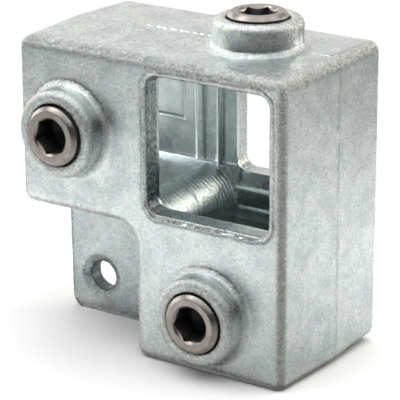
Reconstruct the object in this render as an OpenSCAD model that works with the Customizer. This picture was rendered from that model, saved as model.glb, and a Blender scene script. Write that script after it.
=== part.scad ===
// Three-way corner casting for square tube, with three grub screws.
// One tube passes straight through, a second enters from the side and a third from below;
// each is pinched by its own grub screw.  A web plate with a screw hole fills the crook.
//
// Frame: origin where the three tube axes cross.  +X away from the side arm,
// +Y into the depth (the two front screws face -Y), +Z up towards the top screw.

/* [Tube] */
// Outside width of the square tube
tube = 40; // [30:1:60]
// Free play between the tube and each socket wall
tube_play = 0.75; // [0.3:0.05:1.5]
// Corner rounding inside the two side sockets
socket_r = 2.2; // [0.5:0.1:4]
// Corner rounding of the through window
window_r = 3.8; // [1:0.1:8]
// Softening of the window edge on the front and back faces
window_edge = 1; // [0.2:0.1:2]

/* [Casting] */
// Wall beside a socket, measured on the parting plane
side_wall = 5.9; // [4.5:0.1:9]
// Wall in front of and behind the side sockets
face_wall = 6.4; // [4.5:0.1:9]
// Length of each arm, from the crook to its open end
arm_len = 41.4; // [37:0.1:80]
// Draft of the outer faces, both ways from the parting plane
draft = 2; // [0.5:0.5:4]
// Rounding of the outer edges around the front and back faces
edge_r = 3; // [1:0.1:4]
// Rounding of the silhouette corners, measured on the parting plane
corner_r = 4.2; // [4:0.1:8]
// Fillet in the crook between the two arms
crook_r = 5.5; // [3:0.5:12]
// Rounding of the inside corner where the two side sockets meet
nose_r = 10; // [4:0.5:14]

/* [Tube stops] */
// Distance from the window edge to the crest of a stop bead
stop_back = 6; // [3:0.1:9]
// Half width of the round stop bead
bead_r = 1.2; // [0.8:0.1:2]
// Height of the stop bead above the socket wall
bead_h = 1.4; // [1:0.1:2.5]
// Distance from the window edge to the middle of the guide pad
pad_back = 13.2; // [12:0.1:20]
// Width of the guide pad
pad_w = 3.2; // [2:0.1:6]
// Height of the guide pad above the socket wall
pad_h = 0.5; // [0.2:0.05:0.7]

/* [Name recess] */
// Width of the blank recess on the back wall of the side socket
recess_w = 17; // [8:0.5:24]
// Height of the blank recess
recess_h = 16; // [6:0.5:24]
// Corner rounding of the recess
recess_r = 1.5; // [0.5:0.1:3]
// Depth of the recess
recess_depth = 0.8; // [0.4:0.1:1.5]

/* [Web plate] */
// Thickness of the web
web_t = 6; // [4:0.5:10]
// How far the web edge stands back from the side arm's end
web_back = 0.4; // [0:0.1:3]
// Lean of the web edge from top to bottom
web_lean = 0.6; // [0:0.1:2]
// Free corner rounding of the web
web_corner_r = 4; // [1:0.5:10]
// Screw hole in the web
web_hole_d = 9.5; // [4:0.5:10]
// Countersink diameter
web_csk_d = 15.2; // [10:0.2:18]
// Countersink depth
web_csk_depth = 1.4; // [1:0.1:3.5]
// Hole centre, inwards from both arm ends
web_hole_in = 12; // [10:0.5:24]

/* [Screw bosses] */
// Outside radius of a boss
boss_r = 13.4; // [11.5:0.1:16]
// Height of the top boss above the parting ridge
top_boss_h = 8.6; // [4:0.1:12]
// Height of the two front bosses above their face
front_boss_h = 7.7; // [4:0.1:12]
// Rounding of the boss rim
boss_rim_r = 2.4; // [0.5:0.1:3]
// Fillet at the foot of a boss
boss_foot_r = 2.6; // [0.5:0.1:4]
// Distance from an open arm end to its screw axis
boss_in = 19.6; // [17:0.2:24]
// Chamfer at the mouth of a screw hole
hole_mouth = 0.6; // [0.2:0.05:1]

/* [Grub screws] */
// Outside diameter of the screw thread
thread_d = 18; // [12:0.5:20]
// Radial clearance between the screw and its hole
thread_gap = 0.3; // [0.3:0.05:0.6]
// Length of a grub screw
screw_len = 15; // [12:0.5:20]
// Chamfer around the outer face
screw_chamfer = 1.2; // [0.4:0.1:2]
// Key size across the flats
key_af = 10; // [5:0.5:11]
// Depth of the hexagon socket
key_depth = 7.5; // [4:0.5:10]
// Lead-in around the corners of the key socket
key_mouth = 0.2; // [0.1:0.05:0.5]
// Land left between the key socket and the hole drilled for it
key_land = 0.2; // [0.1:0.05:0.5]
// Diameter of the cup in the point
cup_d = 11; // [5:0.5:13]
// Depth of the cup
cup_depth = 2.6; // [1:0.1:4]
// How far the top screw's face stands above its boss
top_proud = 1.65; // [0:0.05:4]
// How far the side screw's face stands above its boss
side_proud = 2; // [0:0.1:4]
// How far the lower screw's face stands above its boss
lower_proud = 1.5; // [0:0.1:4]
// Turned angle of the key socket in the top screw
top_turn = 34; // [0:1:59]
// Turned angle of the key socket in the side screw
side_turn = 14; // [0:1:59]
// Turned angle of the key socket in the lower screw
lower_turn = 9; // [0:1:59]

/* [Hidden] */
$fn = 96;
half_in = tube / 2 + tube_play;
half_out = half_in + side_wall;
half_depth = half_in + face_wall;
arm_reach = half_out + arm_len;
screw_at = arm_reach - boss_in;
stop_at = half_in + stop_back;
pad_at = half_in + pad_back;
hole_r = thread_d / 2 + thread_gap;
web_at = arm_reach - web_hole_in;
seam = 0.002;
foot_bite = 0.25;
sink = 2;
over = 1;

// Square of half width s with corners rounded to r, centred on the origin.
module rounded_square(s, r) {
    square([2 * s, 2 * (s - r)], center = true);
    square([2 * (s - r), 2 * s], center = true);
    for (x = [-1, 1], y = [-1, 1])
        translate([x * (s - r), y * (s - r)]) circle(r);
}

// Rectangle from (x0, y0) to (x1, y1) with corners rounded to r.
module rounded_box(x0, y0, x1, y1, r) {
    translate([x0 + r, y0]) square([x1 - x0 - 2 * r, y1 - y0]);
    translate([x0, y0 + r]) square([x1 - x0, y1 - y0 - 2 * r]);
    for (x = [x0 + r, x1 - r], y = [y0 + r, y1 - r]) translate([x, y]) circle(r);
}

// Outer section through the depth: first axis across (from -lo to hi on the parting plane),
// second axis the depth.  Both side lines fall away with the draft and end inside edge rounds.
module drafted_section(lo, hi) {
    yc = half_depth - edge_r;
    fall = yc * tan(draft) + edge_r / cos(draft);
    tx = edge_r * cos(draft) - seam;
    ty = yc + edge_r * sin(draft);
    for (y = [-1, 1]) {
        translate([hi - fall, y * yc]) circle(edge_r);
        translate([fall - lo, y * yc]) circle(edge_r);
    }
    polygon([
        [hi, 0], [hi - fall + tx, ty], [hi - fall, half_depth],
        [fall - lo, half_depth], [fall - lo - tx, ty], [-lo, 0],
        [fall - lo - tx, -ty], [fall - lo, -half_depth],
        [hi - fall, -half_depth], [hi - fall + tx, -ty]
    ]);
}

// Section laid across X and Y, drawn out along Z between z0 and z1.
module along_z(z0, z1) {
    translate([0, 0, z0]) linear_extrude(z1 - z0) children();
}

// Section laid across Z and Y (first axis becomes Z), drawn out along X.
module along_x(x0, x1) {
    mirror([1, 0, -1]) along_z(x0, x1) children();
}

// Section laid across X and Z, drawn out along Y.
module along_y(y0, y1) {
    rotate([90, 0, 0]) along_z(-y1, -y0) children();
}

// Swaps X and Z, turning side arm features into lower arm features.
module lower_arm() {
    mirror([1, 0, -1]) children();
}

// Half profile of a silhouette corner, for turning about the corner's own axis along the depth.
module corner_profile() {
    intersection() {
        translate([corner_r - half_out, 0]) drafted_section(half_out, half_out);
        translate([0, -half_depth - over]) square([corner_r + over, 2 * (half_depth + over)]);
    }
}

// Solid bar of the side arm, from its open end to the far side of the crossing.
module arm_bar() {
    near = half_out - corner_r;
    far = arm_reach - corner_r;
    along_x(-far, near) drafted_section(half_out, half_out);
    along_z(-near, near) drafted_section(arm_reach, half_out);
    for (x = [-far, near], z = [-near, near])
        translate([x, 0, z]) rotate([90, 0, 0]) rotate_extrude() corner_profile();
}

// Fillet in the crook; its front and back edges are rounded like those of the arms.
module crook() {
    reach = edge_r + sink;
    difference() {
        translate([-half_out - crook_r, -half_depth, -half_out - crook_r])
            cube([crook_r + reach, 2 * half_depth, crook_r + reach]);
        translate([-half_out - crook_r, 0, -half_out - crook_r]) rotate([90, 0, 0])
            rotate_extrude() difference() {
                translate([0, -half_depth - over])
                    square([crook_r + reach, 2 * (half_depth + over)]);
                translate([crook_r + half_out, 0]) drafted_section(half_out, half_out);
            }
    }
}

// Web plate between the two arms, without its hole.
module web_plate() {
    x0 = -arm_reach + web_back;
    z0 = -arm_reach;
    inner = -half_out + sink;
    along_y(-web_t / 2, web_t / 2) difference() {
        polygon([[x0 + web_lean, z0], [inner, z0], [inner, inner], [x0, inner]]);
        translate([x0 + web_lean, z0]) difference() {
            translate([-over, -over]) square(web_corner_r + over);
            translate([web_corner_r, web_corner_r]) circle(web_corner_r);
        }
    }
}

// Foot fillet of a boss standing on the plane z = 0; it runs into the boss below its own top.
module boss_foot() {
    rotate_extrude() translate([boss_r - foot_bite, 0]) difference() {
        translate([-over, -over / 2]) square([boss_foot_r + over, boss_foot_r + over / 2]);
        translate([boss_foot_r, boss_foot_r - 2 * seam]) circle(boss_foot_r);
    }
}

// Round boss of height h along +Z with a rounded rim; it reaches down into the wall behind it.
module boss_body(h) {
    rotate_extrude() {
        translate([0, -sink]) square([boss_r, h + sink - boss_rim_r]);
        square([boss_r - boss_rim_r, h]);
        translate([boss_r - boss_rim_r, h - boss_rim_r]) circle(boss_rim_r);
    }
}

// Boss on a flat face.
module flat_boss(h) {
    boss_body(h);
    boss_foot();
}

// Boss astride the parting ridge; each half of its foot follows the drafted face.
module ridge_boss(h) {
    boss_body(h);
    for (s = [0, 1]) mirror([0, s, 0]) intersection() {
        rotate([-draft, 0, 0]) boss_foot();
        translate([-boss_r - boss_foot_r - over, 0, -h])
            cube([2 * (boss_r + boss_foot_r + over), boss_r + boss_foot_r + over, 2 * h]);
    }
}

// Clearance hole for a grub screw, along +Z through a wall and past the face of its boss.
module screw_hole(h, wall) {
    translate([0, 0, -wall - over]) cylinder(r = hole_r, h = wall + h + 2 * over);
    translate([0, 0, h - hole_mouth])
        cylinder(r1 = hole_r, r2 = hole_r + hole_mouth + over, h = hole_mouth + over);
}

// Places a feature built along +Z on the top face, on the side arm or on the lower arm.
module on_top() { translate([0, 0, half_out]) children(); }
module on_side() { translate([-screw_at, -half_depth, 0]) rotate([90, 0, 0]) children(); }
module on_lower() { translate([0, -half_depth, -screw_at]) rotate([90, 0, 0]) children(); }

// Space of the side socket, with the rounded nose left standing at its inner corner.
module side_socket() {
    along_x(-arm_reach - over, half_in) rounded_square(half_in, socket_r);
    difference() {
        translate([-half_in - nose_r, -half_in, -half_in - nose_r])
            cube([nose_r + over, 2 * half_in, nose_r + over]);
        translate([-half_in - nose_r, 0, -half_in - nose_r]) rotate([90, 0, 0])
            rotate_extrude() difference() {
                translate([0, -half_in - over])
                    square([nose_r + socket_r, 2 * (half_in + over)]);
                translate([nose_r + half_in, 0]) rounded_square(half_in, socket_r);
            }
    }
}

// Through window with softened edges on both faces.
module through_window() {
    along_y(-half_depth - over, half_depth + over) rounded_square(half_in, window_r);
    for (s = [0, 1]) mirror([0, s, 0]) translate([0, half_depth, 0]) window_edge_cut();
}

// Ring that softens the rim of the window; the face lies on y = 0.
module window_edge_cut() {
    run = half_in - window_r;
    rotate([-90, 0, 0]) for (a = [0:90:270]) rotate(a) {
        translate([half_in, run, 0]) rotate([90, 0, 0]) linear_extrude(2 * run) edge_profile();
        translate([run, run, 0]) rotate_extrude(angle = 90) translate([window_r, 0]) edge_profile();
    }
}

// Quarter-round cut with its corner at the origin, reaching a little past both surfaces.
module edge_profile() {
    difference() {
        translate([-over, -window_edge]) square([window_edge + over, window_edge + over]);
        translate([window_edge, -window_edge]) circle(window_edge);
    }
}

// Stop bead and guide pad on the front and back walls of the side socket.
module tube_stops() {
    for (s = [-1, 1]) {
        along_z(-half_in - socket_r, half_in + over) {
            translate([-stop_at, s * (half_in - bead_h + bead_r)]) circle(bead_r);
            translate([-stop_at - bead_r, min(s * (half_in - bead_h + bead_r), s * (half_in + over))])
                square([2 * bead_r, bead_h - bead_r + over]);
        }
        along_z(-half_in - over, half_in + over) {
            for (x = [-1, 1]) translate([-pad_at + x * (pad_w / 2 - pad_h), s * half_in]) circle(pad_h);
            translate([-pad_at - pad_w / 2 + pad_h, min(s * (half_in - pad_h), s * (half_in + pad_h))])
                square([pad_w - 2 * pad_h, 2 * pad_h]);
        }
    }
}

// Blank recess on the back wall of the side socket, straight behind its screw.
module name_recess() {
    along_y(half_in - over, half_in + recess_depth)
        rounded_box(-screw_at - recess_w / 2, -recess_h / 2,
                    -screw_at + recess_w / 2, recess_h / 2, recess_r);
}

// Countersunk screw hole through the web; the countersink faces the front.
module web_hole() {
    translate([-web_at, 0, -web_at]) rotate([90, 0, 0]) {
        translate([0, 0, -web_t]) cylinder(d = web_hole_d, h = 2 * web_t);
        translate([0, 0, web_t / 2 - web_csk_depth])
            cylinder(d1 = web_hole_d, d2 = web_csk_d + (web_csk_d - web_hole_d) * over / web_csk_depth,
                     h = web_csk_depth + over);
    }
}

module corner_casting() {
    color("silver") {
        difference() {
            union() {
                arm_bar();
                lower_arm() arm_bar();
                crook();
                web_plate();
                on_top() ridge_boss(top_boss_h);
                on_side() flat_boss(front_boss_h);
                on_lower() flat_boss(front_boss_h);
            }
            side_socket();
            lower_arm() side_socket();
            through_window();
            name_recess();
            web_hole();
            on_top() screw_hole(top_boss_h, side_wall);
            on_side() screw_hole(front_boss_h, face_wall);
            on_lower() screw_hole(front_boss_h, face_wall);
        }
        tube_stops();
        lower_arm() tube_stops();
    }
}

// Grub screw along +Z with its outer face on z = 0.  The turned blank has chamfered rims, a
// cup point and a drilled, countersunk hole; the hexagon key socket is then broached into it.
module grub_screw(turn) {
    r = thread_d / 2;
    key_r = key_af / 2 / cos(30);
    mouth_r = key_r + key_mouth;
    drill_r = key_af / 2 - key_land;
    drill_z = -key_depth - key_land;
    color("gray") difference() {
        rotate_extrude() polygon([
            [0, cup_depth - screw_len], [cup_d / 2, -screw_len],
            [r - screw_chamfer, -screw_len], [r, screw_chamfer - screw_len],
            [r, -screw_chamfer], [r - screw_chamfer, 0],
            [mouth_r, 0], [drill_r, drill_r - mouth_r],
            [drill_r, drill_z], [0, drill_z - drill_r * tan(30)]
        ]);
        rotate(turn) translate([0, 0, -key_depth])
            cylinder(r = key_r, h = key_depth + over, $fn = 6);
    }
}

module top_grub_screw() { on_top() translate([0, 0, top_boss_h + top_proud]) grub_screw(top_turn); }
module side_grub_screw() { on_side() translate([0, 0, front_boss_h + side_proud]) grub_screw(side_turn); }
module lower_grub_screw() { on_lower() translate([0, 0, front_boss_h + lower_proud]) grub_screw(lower_turn); }

corner_casting();
top_grub_screw();
side_grub_screw();
lower_grub_screw();
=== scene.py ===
"""Three-way corner clamp for square tube: a galvanised casting and its three grub screws."""

import logging
import math
from dataclasses import dataclass, field
from enum import Enum
from functools import cache
from typing import Callable, Iterable

import bmesh
import bpy
from mathutils import Matrix, Vector, noise


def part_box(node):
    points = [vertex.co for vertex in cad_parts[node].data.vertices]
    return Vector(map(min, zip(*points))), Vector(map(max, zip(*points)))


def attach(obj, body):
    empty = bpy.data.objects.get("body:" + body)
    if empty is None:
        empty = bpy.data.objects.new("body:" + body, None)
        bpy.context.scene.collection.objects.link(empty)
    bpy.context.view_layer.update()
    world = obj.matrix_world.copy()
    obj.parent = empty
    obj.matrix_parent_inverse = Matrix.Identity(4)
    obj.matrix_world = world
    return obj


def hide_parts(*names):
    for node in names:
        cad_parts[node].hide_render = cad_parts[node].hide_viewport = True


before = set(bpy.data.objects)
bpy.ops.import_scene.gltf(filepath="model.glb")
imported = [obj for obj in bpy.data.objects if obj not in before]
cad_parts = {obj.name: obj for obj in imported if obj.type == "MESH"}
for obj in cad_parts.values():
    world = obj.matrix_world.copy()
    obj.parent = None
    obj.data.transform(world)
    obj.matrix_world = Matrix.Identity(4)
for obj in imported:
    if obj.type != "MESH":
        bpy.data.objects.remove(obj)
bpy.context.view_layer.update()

LOG = logging.getLogger("corner_clamp")
MM = 0.001
WELD = 2e-6
ON_PLANE = 1e-7
FLAT_ANGLE = math.radians(0.4)

Rgba = tuple[float, float, float, float]
Triple = tuple[float, float, float]
Span = tuple[float, float]
Fade = tuple[float, float, float, float]
Socket = bpy.types.NodeSocket
Node = bpy.types.Node
Tree = bpy.types.NodeTree
Material = bpy.types.Material
Object = bpy.types.Object
BMesh = bmesh.types.BMesh
Face = bmesh.types.BMFace
FaceTest = Callable[[Face], bool]


class Slot(Enum):
    """The record's two finishes."""

    CASTING = "galvanised_iron"
    SCREW = "screw_steel"


# -------- shader helpers


class Graph:
    """Adds and joins shader nodes in one node tree."""

    def __init__(self, tree: Tree) -> None:
        """Keeps the tree of the material, the world or the group that the nodes go into."""
        self.tree = tree

    def add(self, kind: str, **values: object) -> Node:
        """Adds one node.

        Args:
            kind: The node's type name, such as "ShaderNodeBump".
            **values: Settings of the node, or default values of its inputs by name with
                underscores for spaces.

        Returns:
            The new node.
        """
        node = self.tree.nodes.new(kind)
        for key, value in values.items():
            if hasattr(node, key):
                setattr(node, key, value)
            else:
                node.inputs[key.replace("_", " ")].default_value = value
        return node

    def join(self, source: Socket, target: Socket) -> None:
        """Links one output to one input."""
        self.tree.links.new(source, target)

    def feed(self, target: Socket, value: object) -> None:
        """Links a socket to an input, or sets the input to a plain value.

        Args:
            target: The input.
            value: A socket, a number or a colour.
        """
        if isinstance(value, Socket):
            self.join(value, target)
        else:
            target.default_value = value

    def math(self, operation: str, a: object, b: object = 0.0, clamp: bool = False) -> Socket:
        """Adds a math node.

        Args:
            operation: The operation's name, such as "MULTIPLY".
            a: First value or socket.
            b: Second value or socket.
            clamp: Whether the result is held between 0 and 1.

        Returns:
            The result's socket.
        """
        node = self.add("ShaderNodeMath", operation=operation, use_clamp=clamp)
        self.feed(node.inputs[0], a)
        self.feed(node.inputs[1], b)
        return node.outputs[0]

    def mix(self, factor: object, a: object, b: object, blend: str = "MIX") -> Socket:
        """Mixes two colours.

        Args:
            factor: Share of the second colour, a number or a socket.
            a: First colour or socket.
            b: Second colour or socket.
            blend: The blend type's name.

        Returns:
            The mixed colour's socket.
        """
        node = self.add("ShaderNodeMix", data_type="RGBA", blend_type=blend)
        self.feed(node.inputs["Factor"], factor)
        self.feed(node.inputs[6], a)
        self.feed(node.inputs[7], b)
        return node.outputs[2]

    def span(
        self, value: Socket, low: float, high: float, start: object = 0.0, end: object = 1.0,
        smooth: bool = False,
    ) -> Socket:
        """Maps one range to another and holds it there.

        Args:
            value: The socket that is mapped.
            low: Value that becomes start.
            high: Value that becomes end.
            start: Result at low.
            end: Result at high.
            smooth: Whether the ends ease in and out.

        Returns:
            The result's socket.
        """
        kind = "SMOOTHSTEP" if smooth else "LINEAR"
        node = self.add("ShaderNodeMapRange", interpolation_type=kind, From_Min=low, From_Max=high)
        self.feed(node.inputs["Value"], value)
        self.feed(node.inputs["To Min"], start)
        self.feed(node.inputs["To Max"], end)
        return node.outputs["Result"]

    def noise(
        self, place: Socket, scale: object, detail: float, rough: float, distortion: float = 0.0
    ) -> Node:
        """Adds a noise texture.

        Args:
            place: The socket of the coordinates.
            scale: Features per millimetre, a number or a socket.
            detail: Octaves.
            rough: Weight of the finer octaves.
            distortion: How much the pattern is warped.

        Returns:
            The texture node.
        """
        node = self.add("ShaderNodeTexNoise", Detail=detail, Roughness=rough, Distortion=distortion)
        self.feed(node.inputs["Scale"], scale)
        self.join(place, node.inputs["Vector"])
        return node

    def cells(self, place: Socket, scale: object) -> Node:
        """Adds a Voronoi texture.

        Args:
            place: The socket of the coordinates.
            scale: Cells per millimetre, a number or a socket.

        Returns:
            The texture node.
        """
        node = self.add("ShaderNodeTexVoronoi")
        self.feed(node.inputs["Scale"], scale)
        self.join(place, node.inputs["Vector"])
        return node

    def group(self, tree: Tree, vector: Socket, **values: float) -> Node:
        """Places a shader group.

        Args:
            tree: The group's tree.
            vector: Coordinates in millimetres.
            **values: Values of the group's inputs, where they aren't the group's own.

        Returns:
            The group node.
        """
        node = self.add("ShaderNodeGroup", node_tree=tree, **values)
        self.join(vector, node.inputs["Vector"])
        return node

    def mask(self, name: str) -> Socket:
        """Gives the socket of a number that is stored on the mesh."""
        return self.add("ShaderNodeAttribute", attribute_name=name).outputs["Fac"]

    def split(self, vector: Socket) -> bpy.types.NodeOutputs:
        """Takes a vector apart.

        Args:
            vector: The vector's socket.

        Returns:
            The sockets of its X, Y and Z.
        """
        node = self.add("ShaderNodeSeparateXYZ")
        self.join(vector, node.inputs[0])
        return node.outputs

    def along(self, vector: Socket, direction: Triple) -> Socket:
        """Gives how far a vector reaches in a direction.

        Args:
            vector: The vector's socket.
            direction: The direction.

        Returns:
            The dot product's socket.
        """
        node = self.add("ShaderNodeVectorMath", operation="DOT_PRODUCT")
        self.join(vector, node.inputs[0])
        node.inputs[1].default_value = direction
        return node.outputs["Value"]

    def shade(self, colour: Socket, value: Socket) -> Socket:
        """Multiplies a colour by a number.

        Args:
            colour: The colour's socket.
            value: The number's socket.

        Returns:
            The darker or lighter colour's socket.
        """
        grey = self.add("ShaderNodeCombineColor")
        for socket in grey.inputs:
            self.join(value, socket)
        return self.mix(1.0, colour, grey.outputs[0], "MULTIPLY")

    def blend(self, share: Socket, a: Node, b: Node) -> Node:
        """Blends two shaders.

        Args:
            share: Socket of the second shader's share.
            a: First shader node.
            b: Second shader node.

        Returns:
            The blending node.
        """
        node = self.add("ShaderNodeMixShader")
        for socket, source in zip(node.inputs, (share, a.outputs[0], b.outputs[0])):
            self.join(source, socket)
        return node

    def bump(self, height: Socket, depth: float, shader: Node) -> None:
        """Gives a shader a relief.

        Args:
            height: Socket of the relief.
            depth: Height that 1 stands for, in millimetres.
            shader: The shader node.
        """
        bump = self.add("ShaderNodeBump", Strength=1.0, Distance=depth * MM)
        self.join(height, bump.inputs["Height"])
        self.join(bump.outputs["Normal"], shader.inputs["Normal"])


def shader_group(
    name: str, inputs: dict[str, float], outputs: dict[str, str]
) -> tuple[Tree, Graph]:
    """Starts a shader node group.

    Args:
        name: The group's name.
        inputs: Name and default of each number that goes in, after the Vector.
        outputs: Name and socket type of each result.

    Returns:
        The group's tree and a graph on it, with nodes named "in" and "out".
    """
    tree = bpy.data.node_groups.new(name, "ShaderNodeTree")
    tree.interface.new_socket("Vector", in_out="INPUT", socket_type="NodeSocketVector")
    for key, value in inputs.items():
        socket = tree.interface.new_socket(key, in_out="INPUT", socket_type="NodeSocketFloat")
        socket.default_value = value
    for key, kind in outputs.items():
        tree.interface.new_socket(key, in_out="OUTPUT", socket_type=kind)
    tree.nodes.new("NodeGroupInput").name = "in"
    tree.nodes.new("NodeGroupOutput").name = "out"
    return tree, Graph(tree)


@cache
def sand_skin_group() -> Tree:
    """Builds the fine grain that sand and zinc leave on a casting.

    Returns:
        A group with the outputs Height (relief), Sparkle (mask of the bright grains) and Grain
        (one tone for each grain).
    """
    tree, g = shader_group(
        "sand_skin",
        {"Coarse": 1.2, "Fine": 3.2, "Grains": 1.9},
        {"Height": "NodeSocketFloat", "Sparkle": "NodeSocketFloat", "Grain": "NodeSocketFloat"},
    )
    source, out = tree.nodes["in"], tree.nodes["out"]
    place = source.outputs["Vector"]
    coarse = g.noise(place, source.outputs["Coarse"], 2.0, 0.6)
    fine = g.noise(place, source.outputs["Fine"], 3.0, 0.75)
    lumps = g.math("MULTIPLY", coarse.outputs[0], 0.45)
    grit = g.math("MULTIPLY", fine.outputs[0], 0.55)
    g.join(g.math("ADD", lumps, grit), out.inputs["Height"])
    g.join(g.span(fine.outputs[0], 0.56, 0.74, smooth=True), out.inputs["Sparkle"])
    grains = g.cells(place, source.outputs["Grains"])
    tone = g.add("ShaderNodeSeparateColor")
    g.join(grains.outputs["Color"], tone.inputs[0])
    g.join(tone.outputs[0], out.inputs["Grain"])
    return tree


@cache
def zinc_bloom_group() -> Tree:
    """Builds the cloudy tone and the faint colour shifts of a zinc coat.

    Returns:
        A group with the outputs Tone (light and dark clouds), Crystal (facets) and Tint.
    """
    tree, g = shader_group(
        "zinc_bloom",
        {"Cloud": 0.11, "Facet": 0.7},
        {"Tone": "NodeSocketFloat", "Crystal": "NodeSocketFloat", "Tint": "NodeSocketColor"},
    )
    source, out = tree.nodes["in"], tree.nodes["out"]
    place = source.outputs["Vector"]
    cloud = g.noise(place, source.outputs["Cloud"], 4.0, 0.62, 0.6)
    g.join(g.span(cloud.outputs[0], 0.3, 0.7, smooth=True), out.inputs["Tone"])
    facet = g.noise(place, source.outputs["Facet"], 3.0, 0.7, 0.3)
    g.join(g.span(facet.outputs[0], 0.32, 0.68), out.inputs["Crystal"])
    hue = g.noise(place, 0.5, 5.0, 0.75)
    g.join(hue.outputs["Color"], out.inputs["Tint"])
    return tree


def material_start(name: str) -> tuple[Material, Graph, Node, Socket]:
    """Starts a material with a Principled shader and coordinates in millimetres.

    Args:
        name: The material's name.

    Returns:
        The material, its graph, its Principled node and the coordinates' socket.
    """
    material = bpy.data.materials.new(name)
    material.use_nodes = True
    g = Graph(material.node_tree)
    shader = material.node_tree.nodes["Principled BSDF"]
    where = g.add("ShaderNodeTexCoord")
    scale = g.add("ShaderNodeMapping")
    scale.inputs["Scale"].default_value = (1 / MM, 1 / MM, 1 / MM)
    g.join(where.outputs["Object"], scale.inputs["Vector"])
    return material, g, shader, scale.outputs["Vector"]


# -------- finishes


@dataclass(frozen=True)
class GalvanisedZinc:
    """Hot-dip galvanised skin of the casting; spans are tones or values from low to high."""

    name: str = "galvanised_zinc"
    light: Rgba = (0.755, 0.805, 0.795, 1.0)
    dark: Rgba = (0.595, 0.65, 0.655, 1.0)
    # Dark colour of the real pits, also used for painted shade.
    pit_and_shade_dark: Rgba = (0.10, 0.13, 0.138, 1.0)
    # Painted shade colour for the inside of the sockets.
    shade: Rgba = (0.70, 0.79, 0.80, 1.0)
    worn: Rgba = (0.62, 0.59, 0.54, 1.0)
    tint_share: float = 0.45
    worn_share: float = 0.4
    pit_share: float = 0.6
    # Share of the painted shade.
    painted_shade_share: float = 0.9
    inside_shade_share: float = 0.5
    crystal_tone: Span = (0.86, 1.06)
    relief_height: Span = (0.36, 0.62)
    relief_tone: Span = (0.88, 1.07)
    grain_tone: Span = (0.93, 1.12)
    worn_grain: float = 0.52
    pit_cells: float = 0.62
    pit_radius: Span = (0.07, 0.15)
    patch_scale: float = 0.16
    patch_height: Span = (0.56, 0.68)
    patch_pits: float = 0.4
    worn_pits: float = 0.6
    rough: Span = (0.22, 0.36)
    glint: float = 0.10
    inside_rough: float = 0.75
    pit_depth: float = 0.9
    worn_relief: float = 6.0
    inside_relief: float = 0.8
    relief: float = 0.10

    def build(self) -> Material:
        """Builds the material.

        Returns:
            The finished material.
        """
        material, g, shader, place = material_start(self.name)
        bloom = g.group(zinc_bloom_group(), place)
        skin = g.group(sand_skin_group(), place)
        # The second mask holds painted shade.
        wear, painted_dark, inside = g.mask("edge_skin"), g.mask("painted_shade"), g.mask("inside")
        pit = self.pits(g, place, wear)

        clouds = g.mix(bloom.outputs["Tone"], self.dark, self.light)
        clouds = g.shade(clouds, g.span(bloom.outputs["Crystal"], 0.0, 1.0, *self.crystal_tone))
        tinted = g.mix(self.tint_share, clouds, bloom.outputs["Tint"], "SOFT_LIGHT")
        tinted = g.shade(
            tinted, g.span(skin.outputs["Height"], *self.relief_height, *self.relief_tone)
        )
        deep = g.span(wear, 0.0, 1.0, self.grain_tone[0], self.worn_grain)
        tinted = g.shade(
            tinted, g.span(skin.outputs["Grain"], 0.0, 1.0, deep, self.grain_tone[1])
        )
        warm = g.math("SUBTRACT", wear, g.math("MULTIPLY", painted_dark, 3.0), clamp=True)
        colour = g.mix(g.math("MULTIPLY", warm, self.worn_share), tinted, self.worn)
        colour = g.mix(g.math("MULTIPLY", pit, self.pit_share), colour, self.pit_and_shade_dark)
        # Painted shade: darkens the zinc towards the dark colour in the web and its hole, on the
        # window's mouth, in the recess, along the bead's outer foot, on the top-front edge and
        # beside the joint.
        colour = g.mix(g.math("MULTIPLY", painted_dark, self.painted_shade_share), colour, self.pit_and_shade_dark)
        # Painted shade: tints the inside of the sockets towards the shade colour.
        colour = g.mix(g.math("MULTIPLY", inside, self.inside_shade_share), colour, self.shade)
        g.join(colour, shader.inputs["Base Color"])

        shader.inputs["Metallic"].default_value = 1.0
        rough = g.span(bloom.outputs["Crystal"], 0.0, 1.0, *self.rough)
        glint = g.math("MULTIPLY", skin.outputs["Sparkle"], self.glint)
        rough = g.math("SUBTRACT", rough, glint)
        rough = g.math("MULTIPLY", rough, g.span(inside, 0.0, 1.0, 1.0, self.inside_rough))
        g.join(rough, shader.inputs["Roughness"])

        height = g.math("SUBTRACT", skin.outputs["Height"], g.math("MULTIPLY", pit, self.pit_depth))
        lift = g.math("MULTIPLY", height, g.span(wear, 0.0, 1.0, 1.0, self.worn_relief))
        lift = g.math("MULTIPLY", lift, g.span(inside, 0.0, 1.0, 1.0, self.inside_relief))
        g.bump(lift, self.relief, shader)
        return material

    def pits(self, g: Graph, place: Socket, wear: Socket) -> Socket:
        """Scatters small dark pits, in patches on flat faces and more on worn edges.

        Args:
            g: The material's graph.
            place: Coordinates in millimetres.
            wear: Mask of the rounded edges.

        Returns:
            The socket of the pits' mask.
        """
        spots = g.cells(place, self.pit_cells)
        patch = g.noise(place, self.patch_scale, 2.0, 0.6)
        pin = g.span(spots.outputs["Distance"], *self.pit_radius, 1.0, 0.0, smooth=True)
        few = g.span(patch.outputs[0], *self.patch_height, 0.0, self.patch_pits)
        few = g.math("MAXIMUM", few, g.math("MULTIPLY", wear, self.worn_pits))
        return g.math("MULTIPLY", pin, few, clamp=True)


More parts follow.
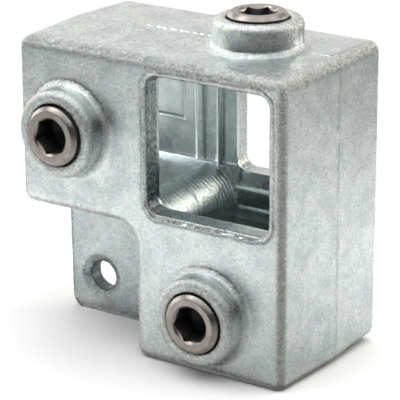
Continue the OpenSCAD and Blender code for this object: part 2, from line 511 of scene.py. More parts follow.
@dataclass(frozen=True)
class ScrewSteel:
    """Smooth brown-grey steel of the grub screws."""

    name: str = "screw_steel"
    light: Rgba = (0.41, 0.38, 0.355, 1.0)
    dark: Rgba = (0.32, 0.29, 0.27, 1.0)
    rough: Span = (0.26, 0.38)
    ring_turns: float = 38.0
    ring_depth: float = 0.06
    relief: float = 0.02

    def build(self) -> Material:
        """Builds the material, with the fine rings of a turned face.

        Returns:
            The finished material.
        """
        material, g, shader, _ = material_start(self.name)
        place = g.add("ShaderNodeAttribute", attribute_name="turned_place").outputs["Vector"]
        across, other, _ = g.split(place)
        flat = g.add("ShaderNodeCombineXYZ")
        g.join(across, flat.inputs[0])
        g.join(other, flat.inputs[1])
        radius = g.add("ShaderNodeVectorMath", operation="LENGTH")
        g.join(flat.outputs[0], radius.inputs[0])
        cloud = g.noise(place, 0.35, 4.0, 0.6)
        fine = g.noise(place, 3.2, 3.0, 0.7)
        clouds = g.span(cloud.outputs[0], 0.35, 0.65, smooth=True)
        g.join(g.mix(clouds, self.dark, self.light), shader.inputs["Base Color"])
        shader.inputs["Metallic"].default_value = 1.0
        g.join(g.span(fine.outputs[0], 0.3, 0.7, *self.rough), shader.inputs["Roughness"])
        rings = g.math("SINE", g.math("MULTIPLY", radius.outputs["Value"], self.ring_turns))
        height = g.math("ADD", fine.outputs[0], g.math("MULTIPLY", rings, self.ring_depth))
        g.bump(height, self.relief, shader)
        return material


@dataclass(frozen=True)
class SocketOxide:
    """Dark oxide in the screws' key sockets and threads."""

    name: str = "socket_oxide"
    light: Rgba = (0.060, 0.060, 0.064, 1.0)
    dark: Rgba = (0.022, 0.024, 0.028, 1.0)
    rough: Span = (0.4, 0.6)
    metal_share: float = 0.7
    relief: float = 0.03

    def build(self) -> Material:
        """Builds the material.

        Returns:
            The finished material.
        """
        material, g, shader, place = material_start(self.name)
        cloud = g.noise(place, 0.8, 4.0, 0.65)
        g.join(g.mix(cloud.outputs[0], self.dark, self.light), shader.inputs["Base Color"])
        shader.inputs["Metallic"].default_value = self.metal_share
        g.join(g.span(cloud.outputs[0], 0.3, 0.7, *self.rough), shader.inputs["Roughness"])
        g.bump(cloud.outputs[0], self.relief, shader)
        return material


# -------- mesh helpers


def publish(
    bm: BMesh, name: str, materials: Iterable[Material]
) -> Object:
    """Turns a bmesh in metres into an object at the origin.

    Args:
        bm: The mesh; it is freed.
        name: The object's name.
        materials: The object's materials, in slot order.

    Returns:
        The new object.
    """
    mesh = bpy.data.meshes.new(name)
    bm.to_mesh(mesh)
    bm.free()
    for material in materials:
        mesh.materials.append(material)
    mesh.shade_smooth()
    piece = bpy.data.objects.new(name, mesh)
    bpy.context.scene.collection.objects.link(piece)
    return piece


def around(faces: Iterable[Face]) -> list[bmesh.types.BMVert | bmesh.types.BMEdge | Face]:
    """Lists faces together with their edges and vertices, each once.

    Args:
        faces: The faces.

    Returns:
        The vertices, then the edges, then the faces.
    """
    faces = list(faces)
    edges = {e: None for f in faces for e in f.edges}
    verts = {v: None for f in faces for v in f.verts}
    return [*verts, *edges, *faces]


def cad_copy(node: str) -> BMesh:
    """Copies a CAD node's mesh, with its seams merged and its flat faces made whole.

    Args:
        node: The node's name.

    Returns:
        The copy, in metres.
    """
    bm = bmesh.new()
    bm.from_mesh(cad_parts[node].data)
    bmesh.ops.remove_doubles(bm, verts=bm.verts, dist=WELD)
    bmesh.ops.dissolve_limit(
        bm, angle_limit=FLAT_ANGLE, use_dissolve_boundaries=False, verts=bm.verts, edges=bm.edges
    )
    return bm


def slice_mesh(
    bm: BMesh, axis: int, places: Iterable[float], near: FaceTest
) -> None:
    """Cuts a mesh along planes square to one axis, so that its faces get a grid of edges.

    Args:
        bm: The mesh.
        axis: 0, 1 or 2 for X, Y or Z.
        places: Where the planes lie along the axis, in millimetres.
        near: A test of a face that is to be cut.
    """
    normal = Vector((axis == 0, axis == 1, axis == 2))

    def halve(faces: list[Face], left: list[float]) -> None:
        """Cuts faces at the middle plane, then each side at the planes that are left there.

        Args:
            faces: The faces that the planes may meet.
            left: The planes' places, in order.
        """
        if not left or not faces:
            return
        middle = len(left) // 2
        height = left[middle] * MM
        cut = bmesh.ops.bisect_plane(
            bm, geom=around(faces), dist=ON_PLANE, plane_co=normal * height, plane_no=normal
        )
        parts = [g for g in cut["geom"] if isinstance(g, Face)]
        below = [f for f in parts if f.calc_center_median()[axis] < height]
        above = [f for f in parts if f.calc_center_median()[axis] >= height]
        halve(below, left[:middle])
        halve(above, left[middle + 1:])

    halve([f for f in bm.faces if near(f)], sorted(places))


def extent(f: Face, axis: int) -> float:
    """Gives how far a face reaches along one axis, in millimetres."""
    places = [v.co[axis] for v in f.verts]
    return (max(places) - min(places)) / MM


def middle_of(f: Face) -> Vector:
    """Gives the middle of a face, in millimetres."""
    return f.calc_center_median() / MM


def refine(bm: BMesh, size: float, near: FaceTest) -> None:
    """Splits faces until their edges are not much longer than a given size.

    Args:
        bm: The mesh.
        size: Wanted edge length in millimetres.
        near: A test of a face that is to be split.
    """
    for _ in range(4):
        zone = [f for f in bm.faces if near(f)]
        made = bmesh.ops.triangulate(bm, faces=[f for f in zone if len(f.verts) > 4])["faces"]
        zone = {f: None for f in [*zone, *made] if f.is_valid and len(f.verts) < 5}
        edges = {e: None for f in zone for e in f.edges if e.calc_length() > 1.4 * size * MM}
        if not edges:
            break
        bmesh.ops.subdivide_edges(bm, edges=list(edges), cuts=1, use_grid_fill=True)


def steps(low: float, high: float, step: float) -> list[float]:
    """Lists evenly spaced places between two ends, without the ends, all in millimetres."""
    count = max(1, round((high - low) / step))
    return [low + (high - low) * i / count for i in range(1, count)]


def hump(distance: float, width: float) -> float:
    """Gives a smooth hump of height 1 at distance 0 that dies out over its width."""
    return math.exp(-((distance / width) ** 2))


def ramp(value: float, low: float, high: float) -> float:
    """Gives 0 below low, 1 above high and a straight line between."""
    return min(1.0, max(0.0, (value - low) / (high - low)))


def waver(place: Vector, size: float, seed: float = 0.0) -> float:
    """Gives smooth noise between -1 and 1 with features of about the given size in millimetres."""
    return noise.noise(place / size + Vector((seed, 2.7 * seed, -seed)))


# -------- the casting


@dataclass(frozen=True)
class Wave:
    """One layer of smooth noise, with its height and the size of its features in millimetres."""

    height: float
    size: float
    seed: float = 0.0

    def at(self, p: Vector) -> float:
        """Gives the layer's height at a point."""
        return self.height * waver(p, self.size, self.seed)


@dataclass
class CornerCasting:
    """The galvanised casting, with the relief that sand, zinc and the mould joint leave.

    The first sizes are the CAD casting's own.  Sizes and heights are in millimetres, and
    shares run from 0 to 1.
    """

    half_in: float = 20.75
    half_out: float = 26.65
    half_depth: float = 27.15
    arm_reach: float = 68.05
    window_r: float = 3.8
    nose_at: float = -30.75
    nose_r: float = 10.0
    screw_at: float = 48.45
    hole_r: float = 9.3
    recess_depth: float = 0.8
    recess_half: Span = (8.5, 8.0)
    web_half: float = 3.0
    web_hole_at: float = 56.05
    web_hole_r: float = 4.95
    joint_y: float = 1.1

    grid: float = 1.5
    edge_grid: float = 0.85
    rim_grid: float = 0.42
    joint_grid: float = 0.6
    nose_grid: float = 0.5
    reveal_grid: float = 0.38
    joint_cuts: tuple[float, ...] = (-1.3, -0.6, -0.3, 0, 0.3, 0.65, 1.0, 1.6)
    joint_band: float = 2.2
    sliver: float = 0.05
    sharp: float = 38.0

    skin_play: float = 0.1
    face_band: float = 1.2
    boss_top: float = 6.4
    boss_spread: float = 18.5
    boss_face_rough: float = 0.45
    reveal_rough: float = 0.3
    # Width of the painted shade in the creases round the web.
    web_crease_shade: float = 0.9

    swell: Wave = Wave(0.08, 7.5)
    dimples: Wave = Wave(0.05, 3.2, 7.0)
    edge_grit: float = 0.075
    nose_ripple: float = 0.26
    nose_pitch: float = 1.7
    nose_drift: Wave = Wave(0.8, 3.0, 3.0)
    nose_grain: Wave = Wave(0.04, 1.3, 5.0)
    core_y: float = 0.4
    core_groove: float = 0.3
    flute: float = 0.13
    side_lumps: float = 0.27
    sill_lumps: float = 0.08
    bead_least: float = 0.06
    bead_more: float = 0.30
    bead_off: float = 1.35
    flash_least: float = 0.05
    flash_more: float = 0.26
    flash_w: float = 0.4
    stitch_pitch: float = 2.6
    stitch_least: float = 0.1
    stitch_more: float = 2.0
    stitch_fade: Span = (-44.0, -38.0)
    stitch_end: float = -16.0
    finish: GalvanisedZinc = field(default_factory=GalvanisedZinc)

    def build(self) -> Object:
        """Builds the casting's visible skin over the CAD casting.

        Returns:
            The finished piece.
        """
        bm = cad_copy("corner_casting")
        self.grid_up(bm)
        self.relief(bm)
        piece = publish(bm, "casting_skin", [self.finish.build()])
        piece.data.set_sharp_from_angle(angle=math.radians(self.sharp))
        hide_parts("corner_casting")
        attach(piece, "casting")
        return piece

    def window_gap(self, p: Vector) -> float:
        """Gives how far a point lies from the window's outline, negative inside the window."""
        x, z = (abs(c) - (self.half_in - self.window_r) for c in (p.x, p.z))
        return math.hypot(max(x, 0.0), max(z, 0.0)) + min(max(x, z), 0.0) - self.window_r

    def is_outer(self, p: Vector) -> bool:
        """Tells whether a point lies on the outside of the casting and not in its sockets.

        Args:
            p: A point of the skin.

        Returns:
            True on the outside, and on the window's and the screw holes' walls.
        """
        side = self.half_in + self.skin_play
        if abs(p.y) > side + self.recess_depth or max(p.x, p.z) > side:
            return True
        return min(abs(p.x), abs(p.z)) > side and not self.on_nose(p)

    def on_silhouette(self, p: Vector) -> bool:
        """Tells whether a point lies where the two mould halves met."""
        return max(p.x, p.z) > self.half_out - 0.8 or min(p.x, p.z) < 1.5 - self.arm_reach

    def on_nose(self, p: Vector) -> bool:
        """Tells whether a point lies on the rounded inner corner between the two sockets."""
        gap = math.hypot(p.x - self.nose_at, p.z - self.nose_at) - self.nose_r
        return min(p.x, p.z) > self.nose_at - 0.5 and abs(gap) < 0.25 and abs(p.y) < self.half_in

    def on_reveal(self, p: Vector) -> bool:
        """Tells whether a point lies on the left or bottom side of the window's mouth."""
        return p.y < -self.half_in and self.window_gap(p) < 0.2 and min(p.x, p.z) < 0

    def on_boss_face(self, p: Vector) -> bool:
        """Tells whether a point lies on the ring that ends a boss."""
        return max(p.z - self.half_out, -p.y - self.half_depth) > self.boss_top

    def on_face(self, p: Vector) -> bool:
        """Tells whether a point lies on the front or the back face, where the window opens."""
        return abs(p.y) > self.half_depth - self.face_band

    def screw_axis_gap(self, p: Vector) -> float:
        """Gives how far a point of the outside lies from the nearest screw's axis.

        Args:
            p: A point of the skin.

        Returns:
            The distance, or a very long one inside the sockets.
        """
        gaps = [1000.0]
        if p.z > self.half_in:
            gaps.append(math.hypot(p.x, p.y))
        if p.y < -self.half_in:
            gaps.append(math.hypot(p.x + self.screw_at, p.z))
            gaps.append(math.hypot(p.x, p.z + self.screw_at))
        return min(gaps)

    def grid_up(self, bm: BMesh) -> None:
        """Cuts the skin into small faces that the relief can bend, finer on rounded edges.

        Args:
            bm: The casting's mesh.
        """
        bm.normal_update()

        def rounded(f: Face) -> bool:
            """Tells whether a face lies on a rounded edge of the outside."""
            return max(abs(c) for c in f.normal) < 0.995 and self.is_outer(middle_of(f))

        def rim(f: Face) -> bool:
            """Tells whether a face lies round the window."""
            p = middle_of(f)
            return abs(p.y) > self.half_depth - 0.9 and -0.8 < self.window_gap(p) < 3.2

        def joint(f: Face) -> bool:
            """Tells whether a face lies beside the mould joint."""
            p = middle_of(f)
            return (abs(f.normal.y) < 0.3 and abs(p.y - self.joint_y) < self.joint_band
                    and self.on_silhouette(p))

        low, high = (tuple(c / MM for c in corner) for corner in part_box("corner_casting"))
        for axis in range(3):
            slice_mesh(bm, axis, steps(low[axis], high[axis], self.grid),
                       lambda f: extent(f, axis) > 1.3 * self.grid)
        slice_mesh(bm, 1, [self.joint_y + d for d in self.joint_cuts], joint)
        bm.normal_update()
        refine(bm, self.edge_grid, rounded)
        refine(bm, self.rim_grid, rim)
        refine(bm, self.joint_grid, joint)
        refine(bm, self.nose_grid, lambda f: self.on_nose(middle_of(f)))
        refine(bm, self.reveal_grid, lambda f: self.on_reveal(middle_of(f)))
        bmesh.ops.dissolve_degenerate(bm, dist=self.sliver * MM, edges=bm.edges)
        LOG.info("casting grid: %d faces", len(bm.faces))

    def relief(self, bm: BMesh) -> None:
        """Lifts and lowers the skin along its normals and notes where it is rough and where shade
        is painted on it.

        Args:
            bm: The casting's mesh.
        """
        rough = bm.verts.layers.float.new("edge_skin")
        # Layer of painted shade.
        painted_dark = bm.verts.layers.float.new("painted_shade")
        inside = bm.verts.layers.float.new("inside")
        bm.normal_update()
        moves = []
        for v in bm.verts:
            p, n = v.co / MM, v.normal
            v[rough] = self.edge_skin(p, n)
            v[painted_dark] = self.painted_shade(p)
            v[inside] = 0.0 if self.is_outer(p) else 1.0
            moves.append(n * (self.lift(p, n) * MM))
        for v, move in zip(bm.verts, moves):
            v.co += move

    def edge_skin(self, p: Vector, n: Vector) -> float:
        """Gives how rough the zinc is.

        Args:
            p: A point of the skin.
            n: The skin's normal there.

        Returns:
            1 on the rounded outer edges, 0 on flat faces.
        """
        if not self.is_outer(p):
            return 0.2 if self.on_nose(p) else 0.0
        flat = max(abs(c) for c in n)
        rough = ramp(0.985 - flat, 0.0, 0.12)
        gap = self.window_gap(p)
        if abs(p.y) > self.half_depth - 1.5:
            rough = max(rough, 0.2 * hump(gap - 1.0, 1.8))
        if gap < 0.3 and p.x < min(p.z, 0.0):
            rough = self.reveal_rough
        if gap < 2.4 and p.z < -self.half_in:
            rough *= 0.3
        if self.screw_axis_gap(p) < self.boss_spread:
            rough = max(0.35 * rough, self.boss_face_rough if self.on_boss_face(p) else 0.0)
        return rough

    def painted_shade(self, p: Vector) -> float:
        """Gives how much shade is painted on the zinc.

        Args:
            p: A point of the skin.

        Returns:
            0 where none is painted, 1 in the creases round the web and in its hole.
        """
        # Painted shade in the web's hole.
        if math.hypot(p.x + self.web_hole_at, p.z + self.web_hole_at) < self.web_hole_r:
            return 1.0
        # Painted shade on the window's mouth.
        if self.on_reveal(p):
            return self.reveal_shade(p)
        shaded = 0.0
        # Painted shadow along the outer foot of the window's bead.
        if self.on_face(p):
            shaded = 0.7 * self.bead_share(p) * hump(self.bead_gap(p) - 0.8, 0.35)
        # Painted shade over the recess, darkest along its rim.
        if 0.2 > self.half_in - p.y > -2.0 and max(abs(p.x + self.screw_at), abs(p.z)) < 9.0:
            wide, high = self.recess_half
            rim = max(abs(p.x + self.screw_at) - wide, abs(p.z) - high)
            shaded = 0.25 + 0.2 * waver(p, 1.6, 14.0) + 0.55 * hump(rim + 0.6, 1.0)
        # Painted shade on the top-front edge, fading out towards the right.
        on_top_edge = p.y < 0 and abs(p.y + p.z) < 2.0 and p.z > self.half_in
        if on_top_edge and p.x < self.half_out - 4.0:
            shaded = (0.25 + 0.3 * waver(p, 2.0, 16.0)) * ramp(-p.x, -25.0, 10.0)
        # Painted shadow beside the mould joint on the right face, in patches.
        if p.x > self.half_out - 1.0 and abs(p.z) < self.arm_reach:
            beside = 0.75 * hump(p.y - self.joint_y - 0.6, 0.35)
            shaded = beside * ramp(waver(p, 7.0, 8.0), -0.5, 0.2)
        # Painted shade over the web, darkest in the creases where it meets the arms.
        if abs(p.y) < self.web_half + 1.2 and max(p.x, p.z) < -self.half_out:
            web_dimming = 0.28 + 0.15 * waver(p, 8.0, 15.0)
            crook = min(-self.half_out - p.x, -self.half_out - p.z)
            shaded = max(web_dimming, hump(crook, self.web_crease_shade))
        return shaded

    @staticmethod
    def reveal_shade(p: Vector) -> float:
        """Gives the painted shade on the window's mouth: more on its left side, and more lower
        down.

        Args:
            p: A point of the mouth.

        Returns:
            The share of painted shade.
        """
        beside = ramp(p.z - p.x, -3.0, 3.0)
        side = 0.45 + 0.5 * ramp(-p.z, 2.0, 14.0) + 0.35 * waver(p, 1.0, 12.0)
        below = 0.30 + 0.25 * ramp(-p.x, -12.0, 14.0) + 0.08 * waver(p, 3.0, 12.0)
        return below + beside * (side - below)

    def lift(self, p: Vector, n: Vector) -> float:
        """Gives the relief.

        Args:
            p: A point of the skin.
            n: The skin's normal there.

        Returns:
            How far the point moves along the normal.
        """
        if self.screw_axis_gap(p) < self.hole_r + 0.9:
            return 0.0
        height = self.swell.at(p) + self.dimples.at(p)
        if self.on_nose(p):
            ripple = abs(math.sin(math.pi * (p.y + self.nose_drift.at(p)) / self.nose_pitch))
            groove = self.core_groove * hump(p.y - self.core_y, 0.4)
            return height + self.nose_ripple * ripple + self.nose_grain.at(p) - groove
        if not self.is_outer(p):
            if abs(p.y) > self.half_in - 0.3 and p.x < 0.0:
                height += self.flute * waver(Vector((p.x, 0.0, 0.1 * p.z)), 2.6, 13.0)
            return height
        height += self.edge_grit * self.edge_skin(p, n) * waver(p, 1.35, 1.0)
        if self.on_reveal(p):
            lumps = self.side_lumps if p.x < p.z else self.sill_lumps
            height += lumps * waver(p, 0.85, 11.0)
        if self.on_face(p):
            height += self.rim_bead(p) * abs(n.y)
        if abs(n.y) < 0.35 and self.on_silhouette(p):
            height += self.joint_line(p)
        return height

    def rim_bead(self, p: Vector) -> float:
        """Gives the bead of zinc that stands along the window's edge.

        Args:
            p: A point of the front or the back face.

        Returns:
            The height.
        """
        gap = self.bead_gap(p)
        lumps = 1.25 + 0.6 * waver(p, 2.2, 9.0)
        height = (self.bead_least + self.bead_more * self.bead_share(p)) * lumps
        return height * hump(gap, 0.32) + 0.08 * hump(gap, 1.3) - 0.12 * hump(gap - 0.75, 0.32)

    def bead_gap(self, p: Vector) -> float:
        """Gives the distance from the crest of the window's bead, along the face."""
        drift = 0.45 * waver(p, 4.0, 5.0) + 0.2 * waver(p, 1.7, 6.0)
        return self.window_gap(p) - self.bead_off - drift

    @staticmethod
    def bead_share(p: Vector) -> float:
        """Gives how strong the window's bead is: 1 below the window, less on its left, or 0."""
        below = ramp(-p.z - 0.8 * abs(p.x), -6.0, 3.0)
        return max(below, 0.65 * ramp(-p.x - 0.8 * abs(p.z), -6.0, 3.0))

    def joint_line(self, p: Vector) -> float:
        """Gives the flash and the small step where the mould halves met.

        Args:
            p: A point of the silhouette.

        Returns:
            The height.
        """
        y = p.y - self.joint_y - 0.12 * waver(p, 6.0, 2.0)
        share = ramp(waver(p, 2.1, 4.0), -0.3, 0.4)
        if p.z > self.half_out - 0.8 and p.x < self.stitch_end:
            beat = math.sin(2.0 * math.pi * (p.x + 1.6 * waver(p, 4.0, 4.0)) / self.stitch_pitch)
            crest = self.stitch_more * ramp(beat, -0.2, 0.7)
            share = self.stitch_least + crest * ramp(p.x, *self.stitch_fade)
        step = -0.05 * ramp(y, -0.2, 0.2) * hump(y, 2.0)
        flash = (self.flash_least + self.flash_more * share) * hump(y, self.flash_w)
        return flash - 0.16 * hump(y - 0.75, 0.35) + step


# -------- the grub screws


@dataclass
class GrubScrew:
    """One threaded grub screw with a cup point and a hexagon socket; sizes in millimetres."""

    node: str
    body: str
    outward: Vector
    thread_r: float = 9.0
    chamfer: float = 1.2
    length: float = 15.0
    pitch: float = 1.5
    thread_depth: float = 0.75
    thread_margin: float = 0.3
    thread_full: float = 1.4
    flanks: Span = (0.12, 0.9)
    rings_each_turn: int = 8
    socket_r: float = 6.05
    cup_wall: float = 4.0
    rim_angle: float = 20.0
    edge_break: float = 0.14
    sharp: float = 12.0

    def build(self, steel: Material, oxide: Material) -> Object:
        """Builds the threaded screw over its plain CAD twin.

        Args:
            steel: Finish of the turned faces.
            oxide: Finish of the key socket and the thread.

        Returns:
            The finished piece.
        """
        bm = cad_copy(self.node)
        low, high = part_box(self.node)
        axis = max(range(3), key=lambda i: abs(self.outward[i]))
        centre = (Vector(low) + Vector(high)) / 2 / MM
        face = centre + self.outward * (self.length / 2)
        self.break_edges(bm, face)
        sign = self.outward[axis]
        start, end = self.chamfer + 0.35, self.length - self.chamfer - 0.35
        places = steps(start, end, self.pitch / self.rings_each_turn)
        rings = [face[axis] - sign * place for place in places]
        bm.normal_update()
        slice_mesh(bm, axis, rings, lambda f: self.gap(middle_of(f), face) > self.thread_r - 0.06)
        self.cut_thread(bm, face, axis)
        self.mark(bm, face)
        piece = publish(bm, self.node + "_threaded", [steel, oxide])
        piece.data.set_sharp_from_angle(angle=math.radians(self.sharp))
        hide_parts(self.node)
        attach(piece, self.body)
        return piece

    def gap(self, p: Vector, face: Vector) -> float:
        """Gives the distance from the screw's axis."""
        return (p - face - self.outward * (p - face).dot(self.outward)).length

    def depth(self, p: Vector, face: Vector) -> float:
        """Gives how far a point lies behind the outer face."""
        return (face - p).dot(self.outward)

    def break_edges(self, bm: BMesh, face: Vector) -> None:
        """Rounds off the turned edges of the outer face and of the point.

        Args:
            bm: The screw's mesh.
            face: Middle of the outer face.
        """
        rims = []
        for e in bm.edges:
            if len(e.link_faces) != 2 or e.calc_face_angle() < math.radians(self.rim_angle):
                continue
            gaps = [self.gap(v.co / MM, face) for v in e.verts]
            if min(gaps) > self.thread_r - self.chamfer - 0.2:
                rims.append(e)
        bmesh.ops.bevel(
            bm, geom=rims, offset=self.edge_break * MM, offset_type="OFFSET", segments=2,
            profile=0.5, affect="EDGES", clamp_overlap=True, material=-1,
        )

    def cut_thread(self, bm: BMesh, face: Vector, axis: int) -> None:
        """Sinks the groove of a right-hand thread into the shank.

        Args:
            bm: The screw's mesh.
            face: Middle of the outer face.
            axis: 0, 1 or 2 for a screw along X, Y or Z.
        """
        first = Vector((0, 0, 0))
        first[(axis + 1) % 3] = 1.0
        second = self.outward.cross(first)
        begin, full = self.chamfer + self.thread_margin, self.chamfer + self.thread_full
        for v in bm.verts:
            p = v.co / MM
            depth = self.depth(p, face)
            if self.gap(p, face) < self.thread_r - 0.05 or not begin < depth < self.length - begin:
                continue
            q = p - face
            turn = math.atan2(q.dot(second), q.dot(first)) / (2 * math.pi)
            wave = abs(((depth / self.pitch + turn) % 1.0) * 2 - 1)
            fade = min(ramp(depth, begin, full), ramp(self.length - depth, begin, full))
            sunk = self.thread_depth * ramp(wave, *self.flanks) * fade
            away = (q + self.outward * depth).normalized()
            v.co -= away * (sunk * MM)

    def mark(self, bm: BMesh, face: Vector) -> None:
        """Gives socket and thread the dark finish and stores each point's place on the screw.

        Args:
            bm: The screw's mesh.
            face: Middle of the outer face.
        """
        place = bm.verts.layers.float_vector.new("turned_place")
        side = Vector((self.outward.y, self.outward.z, self.outward.x))
        other = self.outward.cross(side)
        for v in bm.verts:
            q = v.co / MM - face
            v[place] = (q.dot(side), q.dot(other), q.dot(self.outward))
        bm.normal_update()
        for f in bm.faces:
            p = middle_of(f)
            depth, gap = self.depth(p, face), self.gap(p, face)
            walled = abs(f.normal.dot(self.outward)) < 0.3 or depth > self.length / 3
            socket = gap < self.socket_r and walled and depth < self.length - self.cup_wall
            thread = gap > self.thread_r - self.thread_depth - 0.1
            threaded = thread and depth > self.chamfer + self.thread_margin
            f.material_index = 1 if socket or threaded else 0


# -------- the stage


@dataclass(frozen=True)
class SoftLamp:
    """One square soft lamp that the camera doesn't see; lengths in metres, power in watts."""

    name: str
    place: Triple
    size: float
    power: float
    aim: Triple = (0.0, 0.0, 0.0)
    colour: Triple = (1.0, 1.0, 1.0)
    glossy: bool = True
    diffuse: bool = True

    def hang(self) -> None:
        """Hangs the lamp, so that it faces the point it aims at."""
        data = bpy.data.lights.new(self.name, "AREA")
        data.shape = "SQUARE"
        data.size = self.size
        data.energy = self.power
        data.color = self.colour
        lamp = bpy.data.objects.new(self.name, data)
        bpy.context.scene.collection.objects.link(lamp)
        lamp.location = self.place
        lamp.visible_camera = False
        lamp.visible_glossy = self.glossy
        lamp.visible_diffuse = self.diffuse
        ahead = Vector(self.aim) - Vector(self.place)
        lamp.rotation_euler = ahead.to_track_quat("-Z", "Y").to_euler()


LAMPS = (
    SoftLamp("top_box", (0.09, -0.07, 0.45), 0.92, 3.3, (0.09, -0.07, 0.0)),
    SoftLamp("table_box", (0.09, -0.07, 0.47), 0.92, 4.8, (0.09, -0.07, 0.0), glossy=False),
    SoftLamp("left_box", (-0.30, -0.17, 0.43), 0.24, 0.5, diffuse=False),
    SoftLamp("crest_box", (-0.30, 0.23, 0.43), 0.2, 0.27, diffuse=False),
    SoftLamp("back_box", (0.43, 0.66, 0.26), 0.34, 1.6, colour=(1.0, 0.93, 0.83)),
)


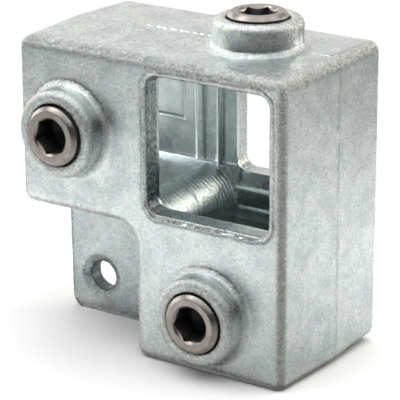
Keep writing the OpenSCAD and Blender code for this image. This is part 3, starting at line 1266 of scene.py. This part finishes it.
@dataclass
class Stage:
    """White table and the light round it.

    A fade has four numbers: where it starts and ends, and the values there.  The table's
    distances are in metres; the world's fades run over the parts of a direction.
    """

    ground: float = -68.05
    lean: float = 2.0
    reach: float = 3.0
    contact: float = 4.0
    camera_white: float = 0.77
    clean_white: Span = (0.10, 0.17)
    # The table's tone in reflected light: a painted shadow close to the casting, and painted shade
    # further out and towards the front-right and the back-right.
    outward: tuple[Fade, ...] = (
        (0.05, 0.15, 0.48, 0.79), (0.165, 0.28, 1.0, 0.66), (0.3, 0.6, 1.0, 0.4),
    )
    sideways: tuple[tuple[Triple, Fade], ...] = (
        ((0.82, -0.57, 0.0), (0.2, 0.85, 1.0, 0.38)), ((0.75, 0.66, 0.0), (0.5, 0.95, 1.0, 0.84)),
    )
    sky_front: Triple = (0.56, -0.83, 0.0)
    front_fade: Fade = (-0.4, 0.5, 1.0, 0.05)
    right_fade: Fade = (-0.2, 0.6, 1.0, 0.6)
    left_glow: Fade = (-0.95, -0.72, 1.6, 0.0)
    below_fade: Fade = (-0.25, -0.05, 0.35, 1.0)
    above_from: Span = (0.30, 0.55)
    above_share: float = 0.3
    sky: Rgba = (1.0, 0.96, 0.94, 1.0)

    def build(self) -> None:
        """Builds the table, the world and the lamps."""
        self.table()
        self.world()
        for lamp in LAMPS:
            lamp.hang()

    def table(self) -> None:
        """Lays the table under the drafted half that the casting stands on."""
        bm = bmesh.new()
        bmesh.ops.create_grid(bm, x_segments=1, y_segments=1, size=self.reach)
        turn = Matrix.Rotation(-math.radians(self.lean), 4, "X")
        drop = Matrix.Translation((0, 0, self.ground * MM))
        bmesh.ops.transform(bm, matrix=drop @ turn, verts=bm.verts)
        table = publish(bm, "table", [self.table_material()])

    def table_material(self) -> Material:
        """Builds the table's white; it is clear from below and to a face that stands on it.

        Returns:
            The finished material.
        """
        material = bpy.data.materials.new("table_white")
        material.use_nodes = True
        nodes = material.node_tree.nodes
        nodes.remove(nodes["Principled BSDF"])
        g = Graph(material.node_tree)
        place = g.add("ShaderNodeTexCoord").outputs["Object"]
        length = g.add("ShaderNodeVectorMath", operation="LENGTH")
        g.join(place, length.inputs[0])
        away = length.outputs["Value"]
        path = g.add("ShaderNodeLightPath")
        camera = path.outputs["Is Camera Ray"]
        white = g.add("ShaderNodeBsdfDiffuse")
        # Camera rays see plain white; other rays see the tone with its painted shadow and shade.
        tone = g.span(camera, 0.0, 1.0, self.tone(g, place, away), self.camera_white)
        g.join(tone, white.inputs["Color"])
        glow = g.add("ShaderNodeEmission", Strength=1.0)
        clean = g.math("MULTIPLY", camera, g.span(away, *self.clean_white, smooth=True))
        seen = g.blend(clean, white, glow)
        close = g.math("LESS_THAN", path.outputs["Ray Length"], self.contact * MM)
        close = g.math("MULTIPLY", close, g.math("SUBTRACT", 1.0, camera))
        behind = g.add("ShaderNodeNewGeometry").outputs["Backfacing"]
        clear = g.add("ShaderNodeBsdfTransparent")
        both = g.blend(g.math("MAXIMUM", behind, close), seen, clear)
        g.join(both.outputs[0], nodes["Material Output"].inputs["Surface"])
        return material

    def tone(self, g: Graph, place: Socket, away: Socket) -> Socket:
        """Gives how light the table looks in the casting: darker close to it as a painted shadow,
        and darker outwards and to two sides as painted shade.

        Args:
            g: The material's graph.
            place: Coordinates in metres.
            away: Distance from the middle.

        Returns:
            The tone's socket.
        """
        heading = g.add("ShaderNodeVectorMath", operation="NORMALIZE")
        g.join(place, heading.inputs[0])
        fades = [(away, fade) for fade in self.outward]
        fades += [(g.along(heading.outputs[0], side), fade) for side, fade in self.sideways]
        tones = [g.span(value, *fade, smooth=True) for value, fade in fades]
        tone = tones[0]
        for other in tones[1:]:
            tone = g.math("MULTIPLY", tone, other)
        return tone

    def world(self) -> None:
        """Builds an even white surround, a little dimmer towards the front."""
        world = bpy.data.worlds.new("studio")
        bpy.context.scene.world = world
        world.use_nodes = True
        g = Graph(world.node_tree)
        shade = world.node_tree.nodes["Background"]
        place = g.add("ShaderNodeTexCoord").outputs["Generated"]
        x, _, z = g.split(place)
        ring = g.span(g.along(place, self.sky_front), *self.front_fade, smooth=True)
        ring = g.math("MULTIPLY", ring, g.span(x, *self.right_fade))
        ring = g.math("ADD", ring, g.span(x, *self.left_glow, smooth=True))
        above = g.math("MULTIPLY", ring, self.above_share)
        dim = g.span(z, *self.above_from, ring, above, smooth=True)
        dim = g.math("MULTIPLY", dim, g.span(z, *self.below_fade))
        camera = g.add("ShaderNodeLightPath").outputs["Is Camera Ray"]
        dim = g.math("MULTIPLY", g.math("SUBTRACT", 1.0, camera), dim)
        g.join(g.math("ADD", camera, dim), shade.inputs["Strength"])
        g.join(g.mix(camera, self.sky, (1.0, 1.0, 1.0, 1.0)), shade.inputs["Color"])


@dataclass
class ProductCamera:
    """Long-lens camera in front, to the right and a little above.

    Its lengths are in millimetres, apart from the clip distances in metres.
    """

    place: Triple = (321.6, -505.0, 188.8)
    yaw: float = 34.15
    pitch: float = 19.31
    roll: float = -0.34
    lens: float = 192.9
    sensor: float = 36.0
    shift: Span = (0.0026, 0.0014)
    clip: Span = (0.01, 20.0)

    def build(self) -> None:
        """Sets the scene's camera."""
        data = bpy.data.cameras.new("product_camera")
        data.lens = self.lens
        data.sensor_width = self.sensor
        data.shift_x, data.shift_y = self.shift
        data.clip_start, data.clip_end = self.clip
        camera = bpy.data.objects.new("product_camera", data)
        bpy.context.scene.collection.objects.link(camera)
        yaw, pitch = math.radians(self.yaw), math.radians(self.pitch)
        level = math.cos(pitch)
        ahead = Vector((-math.sin(yaw) * level, math.cos(yaw) * level, -math.sin(pitch)))
        side = Vector((math.cos(yaw), math.sin(yaw), 0))
        above = side.cross(ahead)
        turn = Matrix.Rotation(-math.radians(self.roll), 3, ahead)
        axes = Matrix((turn @ side, turn @ above, -ahead)).transposed().to_4x4()
        camera.matrix_world = Matrix.Translation(Vector(self.place) * MM) @ axes
        bpy.context.scene.camera = camera


def main() -> None:
    """Builds the stage and every piece, and reports them."""
    logging.basicConfig(level=logging.INFO)
    bpy.context.scene.view_settings.view_transform = "Standard"
    ProductCamera().build()
    Stage().build()
    casting = CornerCasting().build()
    mesh = casting.data
    LOG.info("casting_skin: %d faces, %d vertices", len(mesh.polygons), len(mesh.vertices))
    steel, oxide = ScrewSteel().build(), SocketOxide().build()
    for node, body, outward in (
        ("top_grub_screw", "top_screw", Vector((0, 0, 1))),
        ("side_grub_screw", "side_screw", Vector((0, -1, 0))),
        ("lower_grub_screw", "lower_screw", Vector((0, -1, 0))),
    ):
        screw = GrubScrew(node, body, outward).build(steel, oxide)
        LOG.info("%s: %d faces", screw.name, len(screw.data.polygons))


if __name__ == "__main__":
    main()
